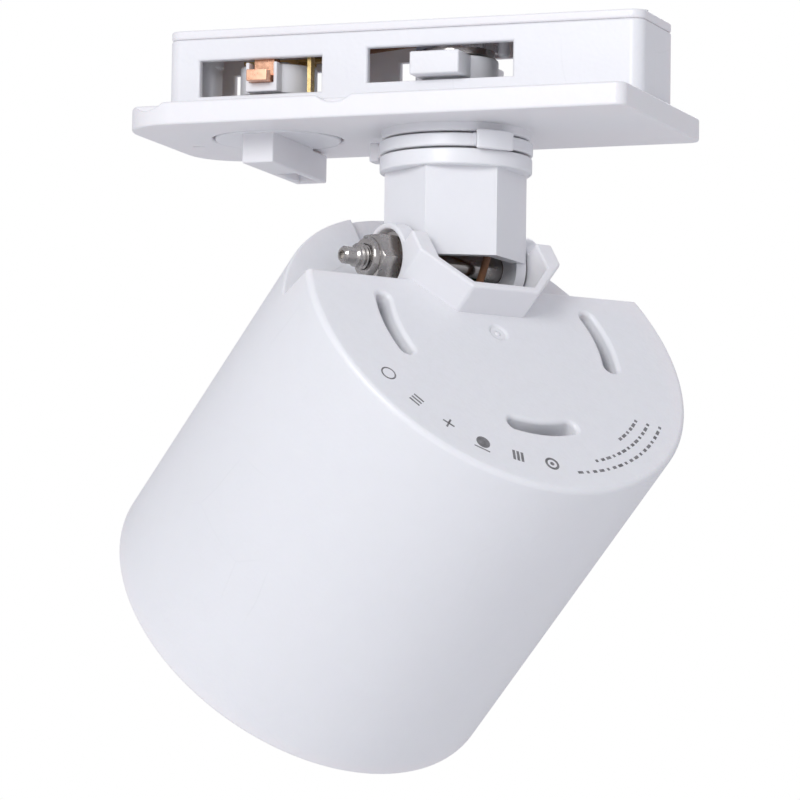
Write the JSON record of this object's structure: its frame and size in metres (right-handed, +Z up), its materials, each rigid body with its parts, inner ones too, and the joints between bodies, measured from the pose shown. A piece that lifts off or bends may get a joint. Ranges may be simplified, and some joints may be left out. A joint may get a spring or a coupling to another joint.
{
  "type": "track spotlight",
  "caption": "Short cylindrical spotlight head on a hexagonal pan-and-tilt neck under a flat two-wire track adapter with a contact lever and a lock ring.",
  "frame": {"origin": "on the pan axis, at the plane where the adapter plate's top seats against the track", "axes": "+X along the track towards the plate's square end, +Y across the track, +Z up into the track along the pan axis"},
  "size_m": [0.0916, 0.0872, 0.1156],
  "materials": {
    "white_plastic": "moulded polycarbonate, satin with a soft sheen",
    "natural_plastic": "natural nylon, matt",
    "zinc_steel": "bright zinc plating",
    "stainless_steel": "turned stainless steel",
    "brass": "stamped brass",
    "copper": "stamped copper",
    "brown_insulation": "silicone insulation, brown",
    "blue_insulation": "silicone insulation, blue",
    "red_insulation": "insulation, red",
    "black_plastic": "moulded, black",
    "grey_fibre": "fibre or silicone sheet, grey",
    "board_green": "solder resist, green",
    "board_white": "white solder resist on aluminium",
    "tape_yellow": "polyester tape, yellow",
    "sleeve_blue": "shrink sleeve, dark blue",
    "enamel_wire": "enamelled copper winding",
    "aluminium": "die-cast aluminium",
    "phosphor": "silicone over phosphor, yellow",
    "reflector_metal": "vacuum-metallised plastic",
    "clear_lens": "clear polycarbonate"
  },
  "bodies": {
    "adapter": {"adapter_base": "white_plastic", "adapter_cover": "white_plastic", "cover_screws": "zinc_steel", "live_terminal": "brass", "neutral_terminal": "brass", "adapter_live_wire": "brown_insulation", "adapter_neutral_wire": "blue_insulation", "detent_spring": "stainless_steel"},
    "contact_lever": {"contact_lever": "white_plastic", "contact_carrier": "white_plastic", "live_contact": "copper", "neutral_contact": "copper", "carrier_screw": "zinc_steel"},
    "lock_ring": {"lock_ring": "white_plastic", "lock_cam": "white_plastic"},
    "neck": {"neck": "white_plastic", "nipple": "zinc_steel", "nipple_nut": "zinc_steel", "spring_washer": "stainless_steel", "stop_washer": "stainless_steel", "neck_live_wire": "brown_insulation", "neck_neutral_wire": "blue_insulation"},
    "head": {"housing": "white_plastic", "pivot_bolt": "stainless_steel", "pivot_nut": "stainless_steel", "pivot_washers": "stainless_steel", "friction_washers": "grey_fibre", "cable_clamp": "natural_plastic", "clamp_screws": "zinc_steel", "terminal_block": "natural_plastic", "head_live_wire": "brown_insulation", "head_neutral_wire": "blue_insulation", "driver_board": "board_green", "transformer": "tape_yellow", "capacitors": "sleeve_blue", "inductor": "enamel_wire", "rectifier": "black_plastic", "driver_screws": "zinc_steel", "heat_sink": "aluminium", "heat_sink_screws": "zinc_steel", "thermal_pad": "grey_fibre", "led_board": "board_white", "led_emitter": "phosphor", "led_holder": "natural_plastic", "led_positive_lead": "red_insulation", "led_negative_lead": "black_plastic", "reflector": "reflector_metal", "front_lens": "clear_lens", "front_bezel": "white_plastic"}
  },
  "joints": [
    {"name": "pan", "type": "hinge", "parent": "adapter", "child": "neck", "pos_m": [0, 0, 0], "axis": [0, 0, 1], "range_deg": [-125, 195]},
    {"name": "tilt", "type": "hinge", "parent": "neck", "child": "head", "pos_m": [0, 0, -0.0243], "axis": [0.5736, 0.8192, 0], "range_deg": [-52, 8]},
    {"name": "lever_turn", "type": "hinge", "parent": "adapter", "child": "contact_lever", "pos_m": [-0.0295, 0, 0], "axis": [0, 0, 1], "range_deg": [-90, 0]},
    {"name": "lock_turn", "type": "hinge", "parent": "adapter", "child": "lock_ring", "pos_m": [0, 0, 0], "axis": [0, 0, 1], "range_deg": [0, 90]}
  ]
}
